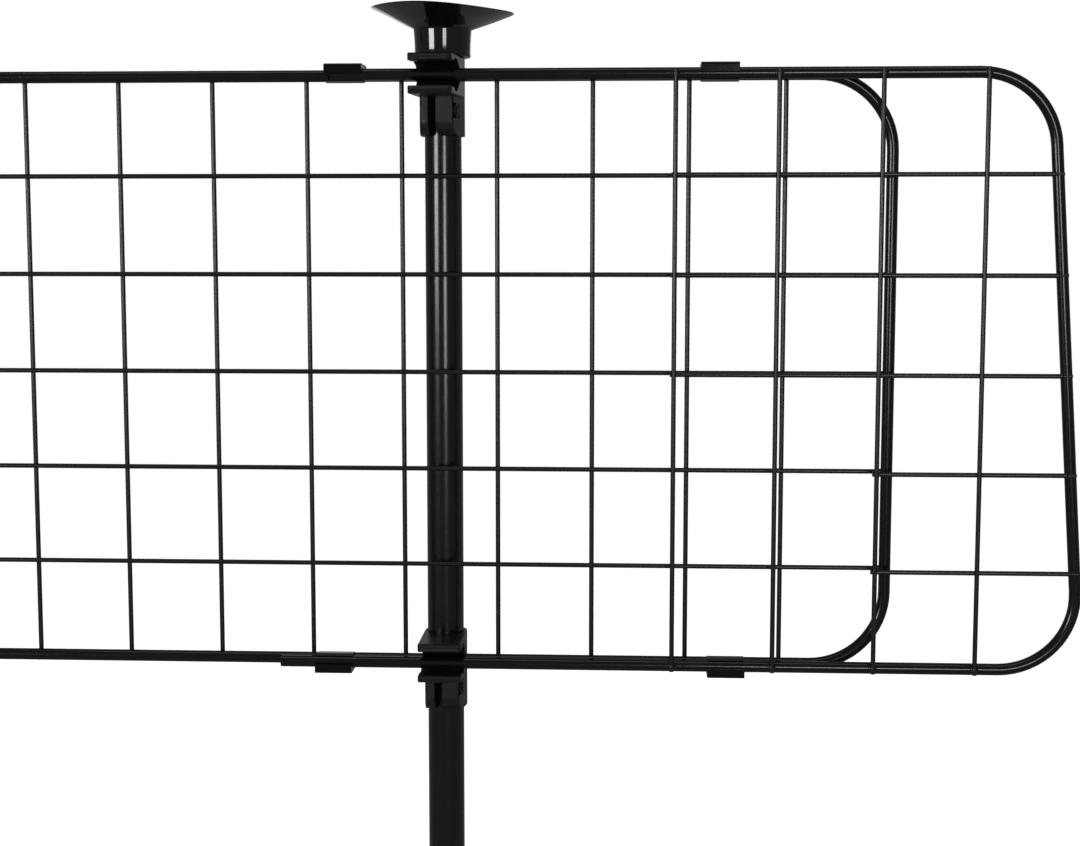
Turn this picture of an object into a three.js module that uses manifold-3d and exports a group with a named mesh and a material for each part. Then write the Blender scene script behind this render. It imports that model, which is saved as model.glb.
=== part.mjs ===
// Car dog guard: a welded wire panel with two sliding wings, carried by clamps on two telescopic
// poles that end in suction cups. Millimetres, +Z up, X across the car, -Y towards the viewer.
// The origin is on the floor, midway between the two pole axes.

import * as THREE from 'three';
import Module from 'manifold-3d';
import { mergeVertices } from 'three/addons/utils/BufferGeometryUtils.js';

const wasm = await Module();
wasm.setup();

// Driving dimensions

const rod = { diameter: 6, sides: 12, cornerRadius: 38, cornerSteps: 5 };
const wire = { diameter: 2.4, sides: 6 };
const weld = { rodBite: 0.25, wireBite: 0.3, wireOverrun: 2 };
const fit = 0.3;
const overrun = 1;

const panel = { columns: 17, rows: 5, cellWidth: 48.55, cellHeight: 50, edgeCell: 53.1, floorToRail: 560 };
const wing = {
  columns: 4,
  cellWidth: 51.15,
  edgeCell: 42.4,
  lean: 10.35,
  extension: 87.1,
  topRailPastPole: 54,
  bottomRailPastPole: 83.4,
  shortRows: 2,
  shortRowsFrom: 2,
  railOverrun: 2.4,
};
const clip = {
  length: 19,
  wall: 2,
  web: 2,
  lip: 0.6,
  lipReach: 1.2,
  flapGap: 0.6,
  corner: 1.4,
  topFromRailEnd: 6.7,
  bottomFromRailEnd: 27.8,
  topPastUpright: 21.95,
  bottomPastUpright: 27.75,
};
const pole = { afterUpright: 4, betweenShare: 0.408, diameter: 19, wall: 1.2, sides: 24, bottom: 300 };
const foot = { wall: 1, top: 560 };
const bracket = {
  width: 22.5,
  reach: 35.8,
  halfHeight: 10.1,
  noseRadius: 2.2,
  noseCorner: 1.8,
  lipRadius: 0.9,
  mouthHalfHeight: 6.2,
  cavityRadius: 8,
  cavityForward: 21.5,
  endRecess: 3,
  seatRadius: 5.6,
  seatWall: 2.1,
  rearWall: 3.5,
  ringWall: 1.45,
  ringDrop: 29.6,
  bossWidth: 17.8,
  bossReach: 17.5,
  bossDrop: 21.2,
  bossCorner: 2,
  slitWidth: 3.9,
  slitOffset: -2.35,
  topTurn: 5.5,
  screwForward: 12.6,
  screwDrop: 17.2,
};
const screw = {
  diameter: 4,
  clearance: 0.25,
  headDiameter: 7.6,
  headHeight: 2.6,
  headSeat: 6.2,
  tip: 10.2,
  slotWidth: 1,
  slotDepth: 1.1,
  sides: 12,
};
const nut = { acrossFlats: 7, thickness: 3.2, seat: 6.6 };
const cup = {
  rimRadius: 36.5,
  rimFace: 2.6,
  rimHeight: 1.2,
  rimSlope: 0.8,
  stemRadius: 14.7,
  stemFoot: 14.3,
  stemChamfer: 1.1,
  stemHeight: 14.1,
  coneHeight: 7.4,
  hollow: 4.6,
  socketDepth: 13,
  sides: 24,
};
const collar = {
  radius: 13.6,
  topRadius: 12.4,
  chamfer: 1.4,
  grip: 22,
  drop: 17,
  bossRadius: 6.6,
  bossReach: 19,
  sides: 24,
};
const stud = { diameter: 6, reach: 29.5, sides: 12 };
const knob = { radius: 12.5, thickness: 11, gap: 0.8, lobes: 6, dishShare: 0.16, lobeSteps: 6 };
const bush = { cap: 3, plug: 9 };

// Places worked out from the driving dimensions

const halfPanel = (panel.columns - 1) * panel.cellWidth / 2 + panel.edgeCell;
const railSpan = (panel.rows + 1) * panel.cellHeight;
const bottomRail = panel.floorToRail;
const topRail = bottomRail + railSpan;
const midHeight = bottomRail + railSpan / 2;
const poleX = (pole.afterUpright + pole.betweenShare) * panel.cellWidth;
const poleRadius = pole.diameter / 2;
const rodRadius = rod.diameter / 2;
const wireRadius = wire.diameter / 2;
const rodFlat = rodRadius * Math.cos(Math.PI / rod.sides);
const wireFlat = wireRadius * Math.cos(Math.PI / wire.sides);
const mainForward = poleRadius + bracket.rearWall + rodRadius;
const layer = rod.diameter + clip.web;
const wingForward = mainForward + layer;
const wingSide = halfPanel + wing.extension;
const wingFirst = wingSide - wing.edgeCell - (wing.columns - 1) * wing.cellWidth;
const topRailEnd = poleX - wing.topRailPastPole;
const bottomRailEnd = poleX - wing.bottomRailPastPole;
const seatForward = poleRadius + fit + bracket.seatWall + bracket.seatRadius;
const seatPlay = bracket.seatRadius - rodRadius - fit;
// The main panel's weight rests on the lower clamps, whose seats its rail touches low down
const railShift = Math.sqrt(seatPlay ** 2 - (seatForward - mainForward) ** 2);
const footRadius = poleRadius - pole.wall - fit;
const cupHeight = cup.stemHeight + cup.coneHeight + cup.rimHeight + cup.rimSlope;
const topStem = topRail + bracket.halfHeight + fit;
const poleTop = topStem + cup.socketDepth - fit;
const footBottom = cupHeight - cup.socketDepth + fit;

// Solids: three.js geometry in, three.js geometry out

function toSolid(geometry) {
  const bare = geometry.clone();
  bare.deleteAttribute('normal');
  bare.deleteAttribute('uv');
  const merged = mergeVertices(bare);
  const mesh = new wasm.Mesh({
    numProp: 3,
    vertProperties: new Float32Array(merged.attributes.position.array),
    triVerts: new Uint32Array(merged.index.array),
  });
  return new wasm.Manifold(mesh);
}

function toGeometry(solid) {
  const mesh = solid.getMesh();
  const geometry = new THREE.BufferGeometry();
  geometry.setAttribute('position', new THREE.BufferAttribute(new Float32Array(mesh.vertProperties), 3));
  geometry.setIndex(new THREE.BufferAttribute(new Uint32Array(mesh.triVerts), 1));
  return geometry;
}

function join(geometries) {
  return toGeometry(geometries.map(toSolid).reduce((whole, piece) => whole.add(piece)));
}

function cut(geometry, tools) {
  return toGeometry(tools.map(toSolid).reduce((whole, tool) => whole.subtract(tool), toSolid(geometry)));
}

function common(geometry, other) {
  return toGeometry(toSolid(geometry).intersect(toSolid(other)));
}

// A mirror image across the plane x = 0, with its faces turned out again
function mirrored(geometry) {
  const bare = geometry.clone();
  bare.deleteAttribute('normal');
  bare.deleteAttribute('uv');
  const image = mergeVertices(bare).scale(-1, 1, 1);
  const corners = image.index.array;
  for (let i = 0; i < corners.length; i += 3) {
    [corners[i], corners[i + 1]] = [corners[i + 1], corners[i]];
  }
  return image;
}

function boxBetween(low, high) {
  const size = high.map((value, i) => value - low[i]);
  return new THREE.BoxGeometry(...size).translate(...low.map((value, i) => value + size[i] / 2));
}

function discAlongX(radius, fromX, toX, y, z, sides) {
  return new THREE.CylinderGeometry(radius, radius, toX - fromX, sides)
    .rotateZ(Math.PI / 2)
    .translate((fromX + toX) / 2, y, z);
}

function discAlongY(radius, fromY, toY, x, z, sides) {
  return new THREE.CylinderGeometry(radius, radius, toY - fromY, sides).translate(x, (fromY + toY) / 2, z);
}

function discAlongZ(radius, fromZ, toZ, sides) {
  return new THREE.CylinderGeometry(radius, radius, toZ - fromZ, sides)
    .rotateX(Math.PI / 2)
    .translate(0, 0, (fromZ + toZ) / 2);
}

function arc(shape, x, y, radius, from, to, steps) {
  for (let step = 0; step <= steps; step += 1) {
    const angle = from + (to - from) * step / steps;
    shape.lineTo(x + radius * Math.cos(angle), y + radius * Math.sin(angle));
  }
}

// A side profile drawn forward (towards -Y) and up, extruded across X about x = 0
function acrossX(shape, width) {
  const geometry = new THREE.ExtrudeGeometry(shape, { depth: width, bevelEnabled: false });
  const toSideView = new THREE.Matrix4().makeBasis(
    new THREE.Vector3(0, -1, 0),
    new THREE.Vector3(0, 0, 1),
    new THREE.Vector3(-1, 0, 0),
  );
  return geometry.applyMatrix4(toSideView).translate(width / 2, 0, 0);
}

// A bent centre line in the plane y = 0, known only by the points where its direction changes
class BentLine extends THREE.Curve {
  constructor(points) {
    super();
    this.points = points.map((point) => new THREE.Vector3(point.x, 0, point.y));
  }

  indexAt(u) {
    return Math.round(u * (this.points.length - 1));
  }

  getPointAt(u) {
    return this.points[this.indexAt(u)].clone();
  }

  getTangentAt(u) {
    const i = this.indexAt(u);
    const last = this.points.length - 1;
    const spans = [Math.max(i - 1, 0), Math.min(i, last - 1)];
    const directions = spans.map((k) => this.points[k + 1].clone().sub(this.points[k]).normalize());
    return directions[0].add(directions[1]).normalize();
  }
}

// A round rod along the line through the corners given, with each inner corner bent to a radius
function bentRod(corners, y) {
  const line = [corners[0]];
  for (let i = 1; i < corners.length - 1; i += 1) {
    const into = corners[i].clone().sub(corners[i - 1]).normalize();
    const out = corners[i + 1].clone().sub(corners[i]).normalize();
    const turn = Math.acos(into.dot(out));
    const start = corners[i].clone().addScaledVector(into, -rod.cornerRadius * Math.tan(turn / 2));
    const inward = out.clone().addScaledVector(into, -into.dot(out)).normalize();
    const centre = start.clone().addScaledVector(inward, rod.cornerRadius);
    for (let step = 0; step <= rod.cornerSteps; step += 1) {
      const angle = turn * step / rod.cornerSteps;
      line.push(
        centre.clone()
          .addScaledVector(inward, -rod.cornerRadius * Math.cos(angle))
          .addScaledVector(into, rod.cornerRadius * Math.sin(angle)),
      );
    }
  }
  line.push(corners[corners.length - 1]);
  const section = Array.from({ length: rod.sides }, (_, i) => {
    const angle = (i + 0.5) * 2 * Math.PI / rod.sides;
    return at(rodRadius * Math.cos(angle), rodRadius * Math.sin(angle));
  });
  const path = new BentLine(line);
  return new THREE.ExtrudeGeometry(new THREE.Shape(section), { steps: line.length - 1, extrudePath: path })
    .translate(0, y, 0);
}

const at = (x, z) => new THREE.Vector2(x, z);

function uprightWire(x, y, low, high) {
  return new THREE.CylinderGeometry(wireRadius, wireRadius, high - low, wire.sides)
    .rotateY(Math.PI / wire.sides)
    .rotateX(Math.PI / 2)
    .translate(x, y, (low + high) / 2);
}

function crossWire(fromX, toX, y, z) {
  return discAlongX(wireRadius, fromX, toX, y, z, wire.sides);
}

// Main panel: two bent rods welded end to end, the uprights behind the rails, the cross wires in
// front of the uprights

function mainPanel() {
  const corners = [
    at(0, topRail),
    at(halfPanel, topRail),
    at(halfPanel, bottomRail),
    at(0, bottomRail),
  ];
  const half = bentRod(corners, -mainForward);
  const pieces = [half, mirrored(half)];
  const uprightY = -mainForward + rodFlat + wireFlat - weld.rodBite;
  const crossY = uprightY - 2 * wireFlat + weld.wireBite;
  for (let column = 0; column < panel.columns; column += 1) {
    const x = (column - (panel.columns - 1) / 2) * panel.cellWidth;
    pieces.push(uprightWire(x, uprightY, bottomRail, topRail));
  }
  for (let row = 1; row <= panel.rows; row += 1) {
    pieces.push(crossWire(-halfPanel, halfPanel, crossY, bottomRail + row * panel.cellHeight));
  }
  return join(pieces);
}

// Right wing: a U of rod open towards the middle, its uprights welded before the rails

function sideAt(z) {
  return wingSide + wing.lean * (midHeight - z) * 2 / railSpan;
}

function rightWing() {
  const corners = [
    at(topRailEnd, topRail),
    at(sideAt(topRail), topRail),
    at(sideAt(bottomRail), bottomRail),
    at(bottomRailEnd, bottomRail),
  ];
  const pieces = [bentRod(corners, -wingForward)];
  const uprightY = -wingForward - rodFlat - wireFlat + weld.rodBite;
  const crossY = uprightY + 2 * wireFlat - weld.wireBite;
  for (let column = 0; column < wing.columns; column += 1) {
    const x = wingFirst + column * wing.cellWidth;
    pieces.push(uprightWire(x, uprightY, bottomRail - wing.railOverrun, topRail + wing.railOverrun));
  }
  for (let row = 1; row <= panel.rows; row += 1) {
    const z = bottomRail + row * panel.cellHeight;
    const firstColumn = row <= wing.shortRows ? wing.shortRowsFrom : 0;
    const fromX = wingFirst + firstColumn * wing.cellWidth - weld.wireOverrun;
    pieces.push(crossWire(fromX, sideAt(z) + rodRadius - weld.rodBite, crossY, z));
  }
  return join(pieces);
}

// Rod clip: two channels back to back on one web, with a flap over the outer side of both rods.
// Its origin is the centre of the main rod and its flaps point up.

function rodClip() {
  const channel = rodRadius + fit;
  const back = -channel - clip.wall;
  const front = layer + channel + clip.wall;
  const top = channel + clip.wall;
  const bottom = -channel - clip.lip;
  const side = new THREE.Shape();
  side.moveTo(back, bottom);
  side.lineTo(front, bottom);
  arc(side, front - clip.corner, top - clip.corner, clip.corner, 0, Math.PI / 2, 3);
  arc(side, back + clip.corner, top - clip.corner, clip.corner, Math.PI / 2, Math.PI, 3);
  side.closePath();
  const body = acrossX(side, clip.length);
  const end = clip.length / 2 + overrun;
  const tools = [
    discAlongX(channel, -end, end, 0, 0, 16),
    discAlongX(channel, -end, end, -layer, 0, 16),
    boxBetween([-end, clip.lipReach, bottom - overrun], [end, -back + overrun, clip.flapGap]),
    boxBetween([-end, -front - overrun, bottom - overrun], [end, -layer - clip.lipReach, clip.flapGap]),
  ];
  return cut(body, tools);
}

// Pole clamp: a block with a mouth for the two rods, and below it a split ring drawn together by a
// screw. Its origin is on the pole axis at the middle of the mouth.

function clampSide() {
  const { reach, halfHeight, noseRadius, lipRadius, mouthHalfHeight, cavityRadius } = bracket;
  const { cavityForward, seatRadius, width } = bracket;
  const cavityAngle = Math.asin(mouthHalfHeight / cavityRadius);
  const side = new THREE.Shape();
  const nose = halfHeight - noseRadius;
  const lip = mouthHalfHeight + lipRadius;
  side.moveTo(-width, -halfHeight);
  arc(side, reach - noseRadius, -nose, noseRadius, -Math.PI / 2, 0, 4);
  arc(side, reach - lipRadius, -lip, lipRadius, 0, Math.PI / 2, 2);
  arc(side, cavityForward, 0, cavityRadius, -cavityAngle, -Math.PI / 2, 2);
  arc(side, seatForward, 0, seatRadius, -Math.PI / 2, -Math.PI * 1.5, 8);
  arc(side, cavityForward, 0, cavityRadius, Math.PI / 2, cavityAngle, 2);
  arc(side, reach - lipRadius, lip, lipRadius, -Math.PI / 2, 0, 2);
  arc(side, reach - noseRadius, nose, noseRadius, 0, Math.PI / 2, 4);
  side.lineTo(-width, halfHeight);
  side.closePath();
  return side;
}

function clampPlan() {
  const plan = new THREE.Shape();
  const { width, reach, noseCorner } = bracket;
  const half = width / 2;
  plan.moveTo(-half, 0);
  arc(plan, -half + noseCorner, -reach + noseCorner, noseCorner, Math.PI, Math.PI * 1.5, 3);
  arc(plan, half - noseCorner, -reach + noseCorner, noseCorner, Math.PI * 1.5, Math.PI * 2, 3);
  arc(plan, 0, 0, half, 0, Math.PI, pole.sides / 2);
  plan.closePath();
  return plan;
}

function bossPlan() {
  const ringRadius = poleRadius + fit + bracket.ringWall;
  const half = bracket.bossWidth / 2;
  const { bossReach, bossCorner } = bracket;
  const plan = new THREE.Shape();
  plan.moveTo(-ringRadius, 0);
  arc(plan, -half + bossCorner, -bossReach + bossCorner, bossCorner, Math.PI, Math.PI * 1.5, 3);
  arc(plan, half - bossCorner, -bossReach + bossCorner, bossCorner, Math.PI * 1.5, Math.PI * 2, 3);
  arc(plan, 0, 0, ringRadius, 0, Math.PI, pole.sides / 2);
  plan.closePath();
  return plan;
}

// The underside rises from the ring's lower edge to the front of the boss on one round sweep
function bossUnderside() {
  const { bossReach, bossDrop, ringDrop } = bracket;
  const rise = ringDrop - bossDrop;
  const run = bossReach - poleRadius;
  const radius = (rise ** 2 + run ** 2) / (2 * rise);
  const spread = Math.asin(run / radius);
  const side = new THREE.Shape();
  side.moveTo(poleRadius, -ringDrop - overrun);
  arc(side, poleRadius, -ringDrop + radius, radius, -Math.PI / 2, -Math.PI / 2 + spread, 4);
  side.lineTo(bossReach + overrun, -bossDrop);
  side.lineTo(bossReach + overrun, -ringDrop - overrun);
  side.closePath();
  return side;
}

function planSlab(plan, fromZ, toZ) {
  return new THREE.ExtrudeGeometry(plan, { depth: toZ - fromZ, bevelEnabled: false }).translate(0, 0, fromZ);
}

function poleClamp() {
  const { width, halfHeight, ringDrop, cavityRadius, cavityForward, endRecess } = bracket;
  const { slitWidth, slitOffset, bossReach, screwForward, screwDrop } = bracket;
  const block = common(
    acrossX(clampSide(), width + 2 * overrun),
    planSlab(clampPlan(), -halfHeight - overrun, halfHeight + overrun),
  );
  const boss = cut(planSlab(bossPlan(), -ringDrop, -halfHeight + overrun), [
    acrossX(bossUnderside(), width + 2 * overrun),
  ]);
  const slitLow = slitOffset - slitWidth / 2;
  const slitHigh = slitOffset + slitWidth / 2;
  const half = width / 2;
  const pocketReach = nut.acrossFlats / Math.sqrt(3) + fit;
  const tools = [
    discAlongZ(poleRadius + fit, -ringDrop - overrun, halfHeight + overrun, pole.sides),
    boxBetween([slitLow, -bossReach - overrun, -ringDrop - overrun], [slitHigh, 0, -halfHeight]),
    discAlongX(cavityRadius, half - endRecess, half + overrun, -cavityForward, 0, 20),
    discAlongX(screw.diameter / 2 + screw.clearance, -half, half, -screwForward, -screwDrop, 12),
    discAlongX(screw.headDiameter / 2 + fit, -half - overrun, -screw.headSeat, -screwForward, -screwDrop, 16),
    boxBetween(
      [nut.seat - fit, -screwForward - pocketReach, -screwDrop - nut.acrossFlats / 2 - fit],
      [half + overrun, -screwForward + pocketReach, -screwDrop + nut.acrossFlats / 2 + fit],
    ),
  ];
  return cut(join([block, boss]), tools);
}

// The clamp screw and its nut share the clamp's origin
function clampScrew() {
  const { screwForward, screwDrop } = bracket;
  const head = -screw.headSeat - fit;
  const pieces = [
    discAlongX(screw.diameter / 2, head, screw.tip, -screwForward, -screwDrop, screw.sides),
    discAlongX(screw.headDiameter / 2, head - screw.headHeight, head, -screwForward, -screwDrop, screw.sides),
  ];
  const face = head - screw.headHeight;
  const reach = screw.headDiameter / 2 - screw.slotWidth;
  const slots = [[reach, screw.slotWidth / 2], [screw.slotWidth / 2, reach]].map(([y, z]) => boxBetween(
    [face - overrun, -screwForward - y, -screwDrop - z],
    [face + screw.slotDepth, -screwForward + y, -screwDrop + z],
  ));
  return cut(join(pieces), slots);
}

function clampNut() {
  const { screwForward, screwDrop } = bracket;
  const corner = nut.acrossFlats / Math.sqrt(3);
  const body = discAlongX(corner, nut.seat, nut.seat + nut.thickness, 0, 0, 6)
    .rotateX(Math.PI / 2)
    .translate(0, -screwForward, -screwDrop);
  const bore = screw.diameter / 2 + screw.clearance;
  const length = nut.thickness + overrun;
  return cut(body, [
    discAlongX(bore, nut.seat - overrun, nut.seat + length, -screwForward, -screwDrop, screw.sides),
  ]);
}

// Telescopic poles

function tube(radius, wall, fromZ, toZ, sides) {
  return cut(discAlongZ(radius, fromZ, toZ, sides), [
    discAlongZ(radius - wall, fromZ - overrun, toZ + overrun, sides),
  ]);
}

// A suction cup that looks up, with its stem's foot at z = 0 and a socket for a tube
function suctionCup(tubeRadius) {
  const { rimRadius, rimFace, rimHeight, rimSlope, stemRadius, stemFoot, stemChamfer, stemHeight } = cup;
  const socket = tubeRadius + fit;
  const rim = stemHeight + cup.coneHeight;
  const face = rim + rimHeight + rimSlope;
  const centre = face - cup.hollow;
  const profile = [
    at(0, cup.socketDepth),
    at(socket, cup.socketDepth),
    at(socket, 0),
    at(stemFoot - stemChamfer, 0),
    at(stemFoot, stemChamfer),
    at(stemRadius, stemHeight),
    at(rimRadius - rimHeight, rim),
    at(rimRadius, rim + rimSlope),
    at(rimRadius, face - rimSlope / 2),
    at(rimRadius - rimSlope / 2, face),
    at(rimRadius - rimFace, face),
    at((rimRadius - rimFace) / 2, face - cup.hollow * 3 / 4),
    at(0, centre),
  ];
  return new THREE.LatheGeometry(profile, cup.sides).rotateX(Math.PI / 2);
}

// Lock collar at the foot of the outer tube, with a boss for the lock screw towards the viewer.
// Its origin is on the pole axis at the end of the outer tube.
function lockCollar() {
  const { radius, topRadius, chamfer, grip, drop, bossRadius, bossReach, sides } = collar;
  const outer = poleRadius + fit;
  const inner = footRadius + fit;
  const profile = [
    at(inner, -fit),
    at(inner, -drop),
    at(radius - chamfer, -drop),
    at(radius, -drop + chamfer),
    at(radius, 0),
    at(topRadius, grip - chamfer),
    at(topRadius - chamfer, grip),
    at(outer, grip),
    at(outer, -fit),
    at(inner, -fit),
  ];
  const body = new THREE.LatheGeometry(profile, sides).rotateX(Math.PI / 2);
  const boss = discAlongY(bossRadius, -bossReach, -radius + chamfer, 0, -drop / 2, 16);
  const hole = discAlongY(stud.diameter / 2 + fit, -bossReach - overrun, 0, 0, -drop / 2, stud.sides);
  return cut(join([body, boss]), [hole]);
}

function lockStud() {
  return discAlongY(stud.diameter / 2, -stud.reach, -footRadius - fit, 0, -collar.drop / 2, stud.sides);
}

function lockKnob() {
  const { radius, thickness, gap, lobes, dishShare, lobeSteps } = knob;
  const steps = lobes * lobeSteps;
  const outline = Array.from({ length: steps }, (_, i) => {
    const angle = 2 * Math.PI * i / steps;
    const reach = radius * (1 - dishShare * (1 - Math.cos(angle * lobes)) / 2);
    return at(reach * Math.cos(angle), reach * Math.sin(angle));
  });
  const front = -collar.bossReach - gap - thickness;
  const body = new THREE.ExtrudeGeometry(new THREE.Shape(outline), { depth: thickness, bevelEnabled: false })
    .rotateX(-Math.PI / 2)
    .translate(0, front, -collar.drop / 2);
  const bore = discAlongY(
    stud.diameter / 2 + fit,
    -stud.reach - fit,
    front + thickness + overrun,
    0,
    -collar.drop / 2,
    stud.sides,
  );
  return cut(body, [bore]);
}

// Slide bush on the top end of the inner tube, with its plug down inside the tube
function slideBush() {
  const plugRadius = footRadius - foot.wall - fit;
  return join([
    discAlongZ(footRadius, 0, bush.cap, pole.sides),
    discAlongZ(plugRadius, -bush.plug, overrun, pole.sides),
  ]);
}

// Materials

const powderCoat = { color: 0x111112, roughness: 0.28, metalness: 0.0 };
const clipPlastic = { color: 0x18181a, roughness: 0.42, metalness: 0.0 };
const clampPlastic = { color: 0x1c1c1e, roughness: 0.5, metalness: 0.0 };
const softRubber = { color: 0x161616, roughness: 0.55, metalness: 0.0 };
const blackSteel = { color: 0x26262a, roughness: 0.35, metalness: 1.0 };

function mesh(name, geometry, material, x = 0, y = 0, z = 0) {
  const piece = new THREE.Mesh(geometry, new THREE.MeshStandardMaterial(material));
  piece.name = name;
  piece.position.set(x, y, z);
  return piece;
}

// Assembly

const dogGuard = new THREE.Group();
dogGuard.add(mesh('main_panel', mainPanel(), powderCoat));

const shapes = {
  wing: rightWing(),
  clip: rodClip(),
  clamp: poleClamp(),
  screw: clampScrew(),
  nut: clampNut(),
  tube: tube(poleRadius, pole.wall, pole.bottom, poleTop, pole.sides),
  inner: tube(footRadius, foot.wall, footBottom, foot.top, pole.sides),
  roofCup: suctionCup(poleRadius),
  floorCup: suctionCup(footRadius).rotateX(Math.PI),
  collar: lockCollar(),
  stud: lockStud(),
  knob: lockKnob(),
  bush: slideBush(),
};

function wingGroup(name, side) {
  const group = new THREE.Group();
  group.add(mesh(`${name}_wing_panel`, side > 0 ? shapes.wing : mirrored(shapes.wing), powderCoat));
  const places = [
    ['inner_top', topRailEnd + clip.topFromRailEnd, topRail],
    ['inner_bottom', bottomRailEnd + clip.bottomFromRailEnd, bottomRail],
    ['outer_top', wingFirst + clip.topPastUpright, topRail],
    ['outer_bottom', wingFirst + clip.bottomPastUpright, bottomRail],
  ];
  for (const [place, x, z] of places) {
    const piece = mesh(`${name}_${place}_clip`, shapes.clip, clipPlastic, side * x, -mainForward, z);
    piece.rotation.y = z === bottomRail ? Math.PI : 0;
    group.add(piece);
  }
  return group;
}

function poleGroup(name, side) {
  const group = new THREE.Group();
  group.position.x = side * poleX;
  // The upper clamp is set a little askew on its pole, its nose turned in towards the middle
  const turn = THREE.MathUtils.degToRad(-side * bracket.topTurn);
  for (const [place, z, angle] of [['top', topRail, turn], ['bottom', bottomRail + railShift, 0]]) {
    const pieces = [
      mesh(`${name}_${place}_clamp`, shapes.clamp, clampPlastic, 0, 0, z),
      mesh(`${name}_${place}_clamp_screw`, shapes.screw, blackSteel, 0, 0, z),
      mesh(`${name}_${place}_clamp_nut`, shapes.nut, blackSteel, 0, 0, z),
    ];
    pieces.forEach((piece) => piece.rotateZ(angle));
    group.add(...pieces);
  }
  group.add(
    mesh(`${name}_outer_tube`, shapes.tube, powderCoat),
    mesh(`${name}_roof_cup`, shapes.roofCup, softRubber, 0, 0, topStem),
    mesh(`${name}_lock_collar`, shapes.collar, clampPlastic, 0, 0, pole.bottom),
    mesh(`${name}_lock_stud`, shapes.stud, blackSteel, 0, 0, pole.bottom),
    mesh(`${name}_lock_knob`, shapes.knob, clampPlastic, 0, 0, pole.bottom),
    mesh(`${name}_inner_tube`, shapes.inner, powderCoat),
    mesh(`${name}_slide_bush`, shapes.bush, clampPlastic, 0, 0, foot.top),
    mesh(`${name}_floor_cup`, shapes.floorCup, softRubber, 0, 0, cupHeight),
  );
  return group;
}

for (const [name, side] of [['right', 1], ['left', -1]]) {
  dogGuard.add(wingGroup(name, side), poleGroup(name, side));
}

export default dogGuard;
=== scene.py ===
import math

import bmesh
import bpy
from mathutils import Matrix, Vector


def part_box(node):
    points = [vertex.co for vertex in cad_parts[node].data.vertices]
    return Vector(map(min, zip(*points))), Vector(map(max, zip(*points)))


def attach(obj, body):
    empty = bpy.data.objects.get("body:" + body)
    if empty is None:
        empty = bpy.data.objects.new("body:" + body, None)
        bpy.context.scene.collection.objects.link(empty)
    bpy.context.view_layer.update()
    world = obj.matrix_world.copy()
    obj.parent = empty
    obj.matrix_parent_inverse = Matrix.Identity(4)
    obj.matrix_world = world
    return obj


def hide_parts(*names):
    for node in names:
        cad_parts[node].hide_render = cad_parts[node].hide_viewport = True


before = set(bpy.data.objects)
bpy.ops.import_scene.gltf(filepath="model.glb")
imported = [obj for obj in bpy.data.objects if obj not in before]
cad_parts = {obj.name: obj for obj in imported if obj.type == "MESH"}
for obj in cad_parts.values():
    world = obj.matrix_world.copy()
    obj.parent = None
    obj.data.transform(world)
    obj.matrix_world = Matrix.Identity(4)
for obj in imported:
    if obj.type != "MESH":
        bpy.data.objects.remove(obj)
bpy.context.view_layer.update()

# Sizes are in millimetres, as in the model: the meshes are made in millimetres and scaled at the end.
# Lengths forwards are counted from the plane of the pole axes towards the viewer, so y is their negative.
MM = 0.001

# Radii of the bent rods and of the wires
ROD, WIRE = 3.0, 1.22

# Running gap in bores and channels
FIT = 0.3

# Distance of the extra ring beside a bend or an end, which holds the shading there
HOLD = 0.4

# How far a cutting tool stands past what it cuts
OVERRUN = 1

# Main panel: heights of its rails, half its width, the bend of its corners, and its mesh
BOTTOM, TOP = 560.0, 860.0
MID = (BOTTOM + TOP) / 2
HALF_PANEL, CORNER = 441.5, 38.0
COLUMNS, ROWS = 17, 5
PITCH, CELL = 48.55, 50.0

# Wing: its side at mid height, how far that leans out at the foot, and its uprights
WING_SIDE, WING_LEAN = 528.6, 10.35
WING_FIRST, WING_PITCH, WING_COLUMNS = 332.75, 51.15, 4

# How far forwards the rods of the main panel and of the wings lie
MAIN_S, WING_S = 16.0, 24.0

# Poles: distance from the middle, then radius and wall of the outer and of the inner tube
POLE_X = 214.008
POLE_R, POLE_WALL = 9.5, 1.2
FOOT_R, FOOT_WALL = 8.0, 1.0


# Mesh tools


def place(name):
    """Lowest and highest corner and centre of a CAD node, in millimetres."""
    lo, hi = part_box(name)
    lo, hi = Vector(lo) / MM, Vector(hi) / MM
    return lo, hi, (lo + hi) / 2


def link(name, data):
    obj = bpy.data.objects.new(name, data)
    bpy.context.collection.objects.link(obj)
    return obj


def drop(obj):
    mesh = obj.data
    bpy.data.objects.remove(obj)
    bpy.data.meshes.remove(mesh)


def solid(name, verts, faces):
    mesh = bpy.data.meshes.new(name)
    mesh.from_pydata([tuple(v) for v in verts], [], faces)
    bm = bmesh.new()
    bm.from_mesh(mesh)
    bmesh.ops.recalc_face_normals(bm, faces=bm.faces)
    bm.to_mesh(mesh)
    bm.free()
    return link(name, mesh)


def bake(obj):
    """The object's modifiers become its mesh."""
    graph = bpy.context.evaluated_depsgraph_get()
    mesh = bpy.data.meshes.new_from_object(obj.evaluated_get(graph))
    old = obj.data
    obj.modifiers.clear()
    obj.data = mesh
    mesh.name = obj.name
    bpy.data.meshes.remove(old)
    return obj


def carve(obj, tool, operation="DIFFERENCE"):
    """Cuts the tool from the object, or joins or keeps what they share, and uses the tool up."""
    step = obj.modifiers.new("carve", "BOOLEAN")
    step.operation, step.solver, step.object = operation, "EXACT", tool
    bake(obj)
    drop(tool)
    return obj


def smooth(obj, angle=35):
    obj.data.shade_smooth()
    obj.data.set_sharp_from_angle(angle=math.radians(angle))
    return obj


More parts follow.
